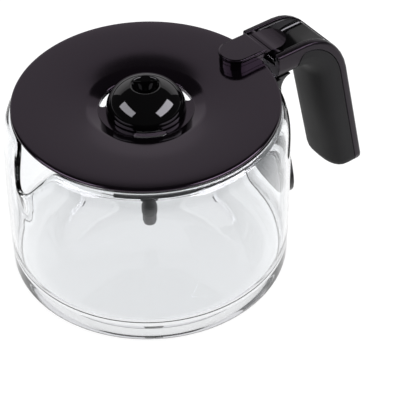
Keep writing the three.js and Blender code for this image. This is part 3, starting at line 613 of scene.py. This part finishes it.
class CARAFE_OT_glass(bpy.types.Operator):
    """Spins the jug's section and draws out its spout"""

    bl_idname = "carafe.glass"
    bl_label = "Glass jug"

    def barrel(self, s, z):
        """Outer radius of the wall at a height."""
        return s.radius - s.drop * ((z - s.belly) / s.belly) ** 2

    def section(self, s):
        """Radius, height and depth under the outer surface, from the base to the inner floor."""
        foot = self.barrel(s, s.heel) - s.heel
        points = [
            (0.0, s.push_up, 0.0),
            (s.ring, s.push_up, 0.0),
            (s.ring + RING_STEP, RING_SHARE * s.push_up, 0.0),
            (foot, 0.0, 0.0),
        ]
        for turn in turns(QUARTER_TURN, steps=7):
            points.append((foot + s.heel * math.sin(turn), s.heel - s.heel * math.cos(turn), 0.0))
        for index in range(1, WALL_STEPS + 1):
            z = s.heel + (s.shoulder - s.heel) * index / WALL_STEPS
            points.append((self.barrel(s, z), z, 0.0))
        top = self.barrel(s, s.shoulder)
        bead_foot = s.rim_height - s.bead
        neck = bead_foot - s.collar
        bend = s.shoulder + BEND_SHARE * (neck - s.shoulder)
        outside = curve((top, s.shoulder), (top, bend), (s.rim_radius, neck), steps=12)
        points.extend((r, z, 0.0) for r, z in outside)
        for turn in turns(math.pi, steps=8):
            across = s.bead_width / 2 * (1 - math.cos(turn))
            points.append((s.rim_radius - across, bead_foot + s.bead * math.sin(turn), across))
        inner = top - s.wall
        mouth = s.rim_radius - s.bead_width
        inside = curve((mouth, neck), (inner, bend), (inner, s.shoulder), steps=12)
        points.extend((r, z, s.wall) for r, z in inside)
        low = s.floor + s.fillet
        for index in reversed(range(WALL_STEPS)):
            z = low + (s.shoulder - low) * index / WALL_STEPS
            points.append((self.barrel(s, z) - s.wall, z, s.wall))
        start = self.barrel(s, low) - s.wall - s.fillet
        for turn in turns(QUARTER_TURN, steps=8):
            points.append((start + s.fillet * math.cos(turn), low - s.fillet * math.sin(turn), s.wall))
        points.extend([(start * FLOOR_SHARE, s.floor, s.wall), (0.0, s.floor, s.wall)])
        return points

    def execute(self, context):
        s = context.scene.carafe_glass
        bm = bmesh.new()
        height = bm.verts.layers.float.new("height")
        depth = bm.verts.layers.float.new("depth")
        verts = []
        for r, z, d in self.section(s):
            vert = bm.verts.new((-r, 0, z))
            vert[height] = z
            vert[depth] = d
            verts.append(vert)
        edges = [bm.edges.new(pair) for pair in zip(verts, verts[1:])]
        bmesh.ops.spin(
            bm, geom=verts + edges, cent=(0, 0, 0), axis=(0, 0, 1), angle=FULL_TURN, steps=192, use_merge=True
        )
        bmesh.ops.remove_doubles(bm, verts=bm.verts[:], dist=SAME_POINT)
        base = self.barrel(s, s.spout_start)
        for vert in bm.verts:
            radius = math.hypot(vert.co.x, vert.co.y)
            climb = (vert[height] - s.spout_start) / (s.rim_height - s.spout_start)
            away = abs(math.atan2(vert.co.y, -vert.co.x)) / s.spout_angle
            if climb <= 0 or away >= 1 or radius < TINY:
                continue
            pull = (1 + math.cos(math.pi * away)) / 2
            reach = base + (s.spout_radius - base) * climb**2 - vert[depth]
            sink = s.spout_start + (s.spout_height - s.spout_start) * climb
            scale = (radius + (reach - radius) * pull) / radius
            vert.co = (vert.co.x * scale, vert.co.y * scale, vert.co.z + (sink - vert.co.z) * pull)
        bmesh.ops.recalc_face_normals(bm, faces=bm.faces[:])
        made = mesh_object(bm, "jug_glass")
        dress(made, clear_glass(s.tint), "jug", "clear_glass", "glass_jug", crease=60)
        return {"FINISHED"}


class CARAFE_OT_lid(bpy.types.Operator):
    """Spins the dished lid with its well, then cuts its slots and its lip at the spout"""

    bl_idname = "carafe.lid"
    bl_label = "Lid and skirt"

    def profile(self, s):
        """Section of the lid as a closed loop."""
        floor = s.top - s.well_depth
        under = floor - s.wall
        hole = DOME_HIGH.x - HOLE_LAP
        edge = (s.radius - EDGE_ROUND, s.top)
        lip = (s.lip_radius, s.top - s.lip_drop)
        foot = (s.floor_radius, floor + WELL_ROUND)
        dish = curve(edge, ((edge[0] + lip[0]) / 2, s.top), lip, steps=26)
        wall = curve(lip, ((lip[0] + foot[0]) / 2, (lip[1] + foot[1]) / 2), foot, steps=8)
        under_foot = (s.floor_radius + UNDER_STEP, under)
        under_lip = (s.lip_radius + UNDER_SHIFT, s.top - s.lip_drop - s.wall)
        under_bend = (s.floor_radius + s.wall + UNDER_SHIFT, under_lip[1] - UNDER_DROP)
        under_wall = curve(under_foot, under_bend, under_lip, steps=10)
        seat = (s.radius - LIP_WIDTH, s.seat)
        under_dish = curve(under_lip, ((under_lip[0] + seat[0]) / 2, s.seat), seat, steps=16)
        loop = [edge, *dish, *wall, (s.floor_radius - WELL_ROUND, floor), (hole, floor), (hole, under)]
        loop += [under_foot, *under_wall, *under_dish]
        loop += [(s.radius - LIP_INSET, s.seat), (s.radius, s.top - s.edge_thickness)]
        loop.append((s.radius, s.top - EDGE_ROUND))
        return eased(loop, LID_EASE)

    def bar(self, name, place, radius, depth, segments):
        """A round upright bar."""
        bm = bmesh.new()
        bmesh.ops.create_cone(
            bm,
            cap_ends=True,
            segments=segments,
            radius1=radius,
            radius2=radius,
            depth=depth,
            matrix=Matrix.Translation(place),
        )
        return mesh_object(bm, name)

    def boss(self, made, s):
        """Raises a seat with the tab's outline on the lid."""
        half = TAB_HIGH.y - BOSS_INSET
        nose = TAB_LOW.x + TAB_HIGH.y
        low = s.top - BOSS_ROOT
        deep = LID_HIGH.z - low
        middle = low + deep / 2
        carve(made, self.bar("boss_front", (nose, 0, middle), half, deep, segments=64), "UNION")
        bm = bmesh.new()
        back = s.radius - BOSS_BACK
        place = Matrix.Translation(((nose + back) / 2, 0, middle))
        size = Matrix.Diagonal((back - nose, 2 * half, deep, 1))
        bmesh.ops.create_cube(bm, size=1.0, matrix=place @ size)
        carve(made, mesh_object(bm, "boss_back"), "UNION")

    def slots(self, made, s):
        """Cuts the drain slots with their round ends round the dome."""
        floor = s.top - s.well_depth
        inner = DOME_HIGH.x + SLOT_GAP
        radii = (inner, inner + s.slot_width)
        heights = (floor - SLOT_REACH, floor + s.wall)
        radius = s.slot_width / 2
        reach = inner + radius
        half = s.slot_span / 2
        for index in range(SLOTS):
            middle = index / SLOTS * 2 * math.pi
            carve(made, arc_block("slot", radii, heights, middle, half), "DIFFERENCE")
            for turn in (middle - half, middle + half):
                place = (reach * math.cos(turn), reach * math.sin(turn), floor)
                carve(made, self.bar("slot_end", place, radius, SLOT_BAR, segments=32), "DIFFERENCE")

    def lip_cut(self, made, s):
        """Takes the lid's lip away over the spout."""
        radii = (s.radius - LIP_WIDTH, s.radius + CUT_SPARE)
        heights = (s.seat - CUT_SPARE, s.top - CUT_TOP)
        carve(made, arc_block("lip_cut", radii, heights, math.pi, s.open_angle), "DIFFERENCE")

    def skirt(self, s):
        """The ring under the lid, open at the spout."""
        outer = SKIRT_HIGH.y
        inner = outer - SKIRT_WALL
        low, high = SKIRT_LOW.z, SKIRT_HIGH.z
        loop = eased([(inner, low), (outer, low), (outer, high), (inner, high)], SKIRT_EASE)
        sweep = 2 * (math.pi - s.open_angle)
        bm = spun(loop, steps=120, sweep=sweep, start=s.open_angle - math.pi)
        made = mesh_object(bm, "lid_skirt_ring")
        satin = moulded("skirt_plastic", s.lid_tint, roughness=0.4, depth=0.1)
        dress(made, satin, "lid", "satin_black", "lid_skirt")

    def execute(self, context):
        s = context.scene.carafe_lid
        made = mesh_object(spun(self.profile(s), steps=160), "lid_dish")
        self.boss(made, s)
        self.slots(made, s)
        self.lip_cut(made, s)
        plastic = moulded("lid_plastic", s.lid_tint, roughness=0.11, depth=0.01, gloss=s.plum)
        dress(made, plastic, "lid", "lid_plastic", "lid_cover")
        self.skirt(s)
        return {"FINISHED"}


class CARAFE_OT_dome(bpy.types.Operator):
    """Spins the drip dome, the feed tube and its nozzle"""

    bl_idname = "carafe.dome"
    bl_label = "Dome and tube"

    def arc(self, radius, rise, spring, hole, steps):
        """Part of an ellipse from its foot to the hole."""
        last = math.acos(hole / radius)
        angles = [last * index / steps for index in range(steps + 1)]
        return [(radius * math.cos(t), spring + rise * math.sin(t)) for t in angles]

    def dome(self, s):
        """The cap with its hole and the funnel under it."""
        radius = DOME_HIGH.x
        foot = s.top - s.well_depth + DOME_GAP
        spring = foot + DOME_FOOT
        rise = (DOME_HIGH.z - spring) / math.sin(math.acos(s.hole_radius / radius))
        outside = self.arc(radius, rise, spring, s.hole_radius, steps=28)
        inner = radius - s.dome_wall
        inside = self.arc(inner, rise - s.dome_wall, spring, s.hole_radius - HOLE_STEP, steps=20)
        top = outside[-1][1]
        throat = top - THROAT_DEPTH
        rim = (s.hole_radius - RIM_STEP, top - RIM_DROP)
        bowl_foot = (BORE + THROAT_FLARE, throat + FLARE_HEIGHT)
        bowl = curve(rim, (BOWL_RADIUS, top - BOWL_DEPTH), bowl_foot, steps=14)
        neck = BORE + s.dome_wall
        low = DOME_LOW.z
        loop = [(radius, foot), *outside, rim, *bowl, (BORE, throat)]
        loop += [(BORE, low), (neck, low), (neck, throat), (neck + THROAT_FLARE, throat + FLARE_HEIGHT)]
        loop += [*reversed(inside), (inner, foot)]
        gloss = moulded("gloss_plastic", s.gloss_tint, roughness=0.05, depth=0.01)
        made = mesh_object(spun(eased(loop, DOME_EASE), steps=128), "dome_cap")
        dress(made, gloss, "lid", "gloss_black", "drip_dome")

    def tube(self, s):
        """The tube under the lid."""
        flange = TUBE_HIGH.z - FLANGE
        low, high = TUBE_LOW.z, TUBE_HIGH.z
        step = low + SOCKET_DEPTH
        loop = [(BORE, high), (BORE, step), (TUBE_SOCKET, step), (TUBE_SOCKET, low), (TUBE_RADIUS, low)]
        loop += [(TUBE_RADIUS, flange - FLANGE_FLARE), (TUBE_RADIUS + FLANGE_FLARE, flange)]
        loop += [(TUBE_HIGH.x, flange), (TUBE_HIGH.x, high)]
        satin = moulded("tube_plastic", s.lid_tint, roughness=0.35, depth=0.1)
        made = mesh_object(spun(eased(loop, TUBE_EASE), steps=64), "tube_sleeve")
        dress(made, satin, "lid", "satin_black", "feed_tube")

    def nozzle(self, s):
        """The tube's grey end."""
        wide = NOZZLE_HIGH.x
        low, high = NOZZLE_LOW.z, NOZZLE_HIGH.z
        shoulder = TUBE_LOW.z - NOZZLE_GAP
        loop = [(NOZZLE_BORE, high), (NOZZLE_BORE, low), (wide - TIP_INSET, low)]
        loop += [(wide - TIP_CHAMFER, low + TIP_STEP), (wide, low + TIP_HEIGHT), (wide, shoulder)]
        loop += [(NOZZLE_NECK, shoulder), (NOZZLE_NECK, high)]
        grey = moulded("nozzle_plastic", s.nozzle_tint, roughness=0.4, depth=0.1)
        made = mesh_object(spun(eased(loop, TUBE_EASE), steps=64), "nozzle_end")
        dress(made, grey, "lid", "tube_plastic", "swirl_nozzle")

    def execute(self, context):
        s = context.scene.carafe_lid
        self.dome(s)
        self.tube(s)
        self.nozzle(s)
        return {"FINISHED"}


class CARAFE_OT_lever(bpy.types.Operator):
    """Rounds the thumb lever and the lid's tab"""

    bl_idname = "carafe.lever"
    bl_label = "Lever and tab"

    def execute(self, context):
        s = context.scene.carafe_lid
        h = context.scene.carafe_handle
        gloss = moulded("lever_plastic", s.gloss_tint, roughness=0.14, depth=0.02, gloss=s.plum)
        for node, name in (("thumb_lever", "lever_body"), ("lid_tab", "tab_body")):
            bm = copied(node)
            ease_edges(bm, h.edge, h.edge_steps)
            dress(mesh_object(bm, name), gloss, "lid", "gloss_black", node, flats=True)
        return {"FINISHED"}


class CARAFE_OT_handle(bpy.types.Operator):
    """Rounds the handle's frame, liner and grip"""

    bl_idname = "carafe.handle"
    bl_label = "Handle"

    def trough(self, bm, h):
        """Rounds the liner's floor into its side walls."""
        inner = []
        for edge in bm.edges:
            if len(edge.link_faces) != 2 or edge.is_convex:
                continue
            normals = [face.normal for face in edge.link_faces]
            floors = [n for n in normals if n.z > TROUGH_FLOOR_UP and abs(n.y) < TROUGH_FLOOR_SIDE]
            walls = [n for n in normals if abs(n.y) > TROUGH_WALL_SIDE]
            if len(floors) == 1 and len(walls) == 1:
                inner.append(edge)
        round_edges(bm, inner, h.trough, steps=8, held=True)

    def execute(self, context):
        s = context.scene.carafe_lid
        h = context.scene.carafe_handle
        satin = moulded(
            "frame_plastic", h.frame_tint, roughness=0.3, depth=0.08, grain=2400.0, gloss=s.plum, shine=0.24
        )
        gloss = moulded("liner_plastic", s.gloss_tint, roughness=0.12, depth=0.02)
        parts = (
            ("handle_frame", "frame_body", satin, "satin_black"),
            ("channel_liner", "liner_body", gloss, "gloss_black"),
            ("grip_shell", "grip_body", soft_touch(h.grip_tint), "soft_grip"),
        )
        for node, name, material, slot in parts:
            bm = copied(node)
            if node == "channel_liner":
                self.trough(bm, h)
            ease_edges(bm, h.edge, h.edge_steps, held=False)
            dress(mesh_object(bm, name), material, "jug", slot, node, flats=True)
        return {"FINISHED"}


class CARAFE_OT_bracket(bpy.types.Operator):
    """Rounds the bracket and lays its adhesive"""

    bl_idname = "carafe.bracket"
    bl_label = "Bracket and pad"

    def execute(self, context):
        h = context.scene.carafe_handle
        satin = moulded("bracket_plastic", h.frame_tint, roughness=0.35, depth=0.08, grain=2400.0)
        bm = copied("handle_bracket")
        ease_edges(bm, h.edge, h.edge_steps)
        dress(mesh_object(bm, "bracket_body"), satin, "jug", "satin_black", "handle_bracket", flats=True)
        pad = mesh_object(copied("bond_pad"), "pad_sheet")
        dress(pad, mottled_adhesive(h.pad_tint), "jug", "adhesive", "bond_pad")
        return {"FINISHED"}


class CARAFE_OT_fasteners(bpy.types.Operator):
    """Finishes the screws and the hinge pin"""

    bl_idname = "carafe.fasteners"
    bl_label = "Screws and pin"

    def execute(self, context):
        steel = blackened_steel()
        fixed = ("bracket_screw_left", "bracket_screw_right", "grip_screw", "hinge_pin")
        for node in fixed + ("lever_screw_left", "lever_screw_right"):
            bm = copied(node)
            ease_edges(bm, SCREW_EDGE, steps=2)
            body = "jug" if node in fixed else "lid"
            dress(mesh_object(bm, node + "_steel"), steel, body, "steel", node)
        return {"FINISHED"}


class CARAFE_OT_stage(bpy.types.Operator):
    """Sets the floor, the soft boxes and the camera"""

    bl_idname = "carafe.stage"
    bl_label = "Floor, light and camera"

    def floor(self, s):
        """The paper that the carafe stands on."""
        bm = bmesh.new()
        bmesh.ops.create_grid(bm, x_segments=1, y_segments=1, size=FLOOR_SIZE)
        floor = mesh_object(bm, "paper_floor")
        floor.data.materials.append(glowing_paper(s.paper, s.floor_glow))

    def room(self, context, s):
        """An even, dim room."""
        world = bpy.data.worlds.new("studio")
        world.use_nodes = True
        background = world.node_tree.nodes["Background"].inputs
        background["Color"].default_value = ROOM_TINT
        background["Strength"].default_value = s.fill
        context.scene.world = world
        context.scene.view_settings.view_transform = "Standard"

    def box(self, name, bearing, height, distance, size, glow, tint, shift=0.0):
        """A soft box that faces the lid from a bearing and a height, moved along its own upright."""
        level = math.cos(height)
        reach = Vector((math.cos(bearing) * level, math.sin(bearing) * level, math.sin(height)))
        data = bpy.data.lights.new(name, "AREA")
        data.shape = "RECTANGLE"
        data.size, data.size_y = size
        data.energy = glow * math.pi * size[0] * size[1]
        data.color = tint
        lamp = bpy.data.objects.new(name, data)
        facing = reach.to_track_quat("Z", "Y")
        lamp.location = reach * distance + facing @ Vector((0, shift, 0)) + Vector((0, 0, LID_HIGH.z))
        lamp.rotation_euler = facing.to_euler()
        lamp.visible_camera = False
        bpy.context.scene.collection.objects.link(lamp)

    def lights(self, s):
        """A box on each side and a card of two strips behind."""
        right = RIGHT_BEARING - s.bearing
        left = LEFT_BEARING - s.bearing
        back = BACK_BEARING - s.bearing
        self.box("right_box", right, BOX_HEIGHT, BOX_DISTANCE, RIGHT_SIZE, s.right_glow, RIGHT_TINT)
        self.box("left_box", left, BOX_HEIGHT, BOX_DISTANCE, LEFT_SIZE, s.left_glow, LEFT_TINT)
        low = BACK_LOW
        for name, width, share in BACK_STRIPS:
            size = (BACK_LENGTH, width)
            glow = s.back_glow * share
            self.box(name, back, BACK_HEIGHT, BACK_DISTANCE, size, glow, BACK_TINT, shift=low + width / 2)
            low += width

    def camera(self, s):
        """The camera from its pitch, bearing and offsets about the lid's middle."""
        turn = Matrix.Rotation(-s.bearing, 3, "Z")
        right = Vector((1, 0, 0))
        ahead = Vector((0, math.cos(s.pitch), -math.sin(s.pitch)))
        up = Vector((0, math.sin(s.pitch), math.cos(s.pitch)))
        place = right * s.slide + up * s.lift - ahead * s.distance + Vector((0, 0, s.aim))
        lean = -s.roll
        side = right * math.cos(lean) - up * math.sin(lean)
        top = right * math.sin(lean) + up * math.cos(lean)
        axes = [turn @ side, turn @ top, turn @ -ahead]
        pose = Matrix([list(row) for row in zip(*axes)]).to_4x4()
        pose.translation = turn @ place
        data = bpy.data.cameras.new("photo_camera")
        data.sensor_width = SENSOR_WIDTH
        data.lens = s.lens
        data.clip_end = VIEW_END
        made = bpy.data.objects.new("photo_camera", data)
        made.matrix_world = pose
        bpy.context.scene.collection.objects.link(made)
        bpy.context.scene.camera = made

    def execute(self, context):
        s = context.scene.carafe_stage
        self.floor(s)
        self.room(context, s)
        self.lights(s)
        self.camera(s)
        return {"FINISHED"}


class CARAFE_PT_panel(bpy.types.Panel):
    """Lists the carafe's steps and sizes"""

    bl_label = "Coffee carafe"
    bl_idname = "CARAFE_PT_panel"
    bl_space_type = "VIEW_3D"
    bl_region_type = "UI"
    bl_category = "Carafe"

    def draw(self, context):
        for operator in OPERATORS:
            self.layout.operator(operator.bl_idname)
        for key in GROUPS:
            group = getattr(context.scene, key)
            for name in group.bl_rna.properties.keys():
                if name not in ("rna_type", "name"):
                    self.layout.prop(group, name)


GROUPS = {
    "carafe_glass": CarafeGlass,
    "carafe_lid": CarafeLid,
    "carafe_handle": CarafeHandle,
    "carafe_stage": CarafeStage,
}
OPERATORS = (
    CARAFE_OT_glass,
    CARAFE_OT_lid,
    CARAFE_OT_dome,
    CARAFE_OT_lever,
    CARAFE_OT_handle,
    CARAFE_OT_bracket,
    CARAFE_OT_fasteners,
    CARAFE_OT_stage,
)


def register():
    """Registers the groups, operators and panel."""
    for name, group in GROUPS.items():
        bpy.utils.register_class(group)
        setattr(bpy.types.Scene, name, PointerProperty(type=group))
    for operator in OPERATORS:
        bpy.utils.register_class(operator)
    bpy.utils.register_class(CARAFE_PT_panel)


def unregister():
    """Takes everything away again."""
    bpy.utils.unregister_class(CARAFE_PT_panel)
    for operator in reversed(OPERATORS):
        bpy.utils.unregister_class(operator)
    for name, group in reversed(GROUPS.items()):
        delattr(bpy.types.Scene, name)
        bpy.utils.unregister_class(group)


def main():
    """Builds every piece in order."""
    register()
    bpy.ops.carafe.glass()
    bpy.ops.carafe.lid()
    bpy.ops.carafe.dome()
    bpy.ops.carafe.lever()
    bpy.ops.carafe.handle()
    bpy.ops.carafe.bracket()
    bpy.ops.carafe.fasteners()
    bpy.ops.carafe.stage()


if __name__ == "__main__":
    main()
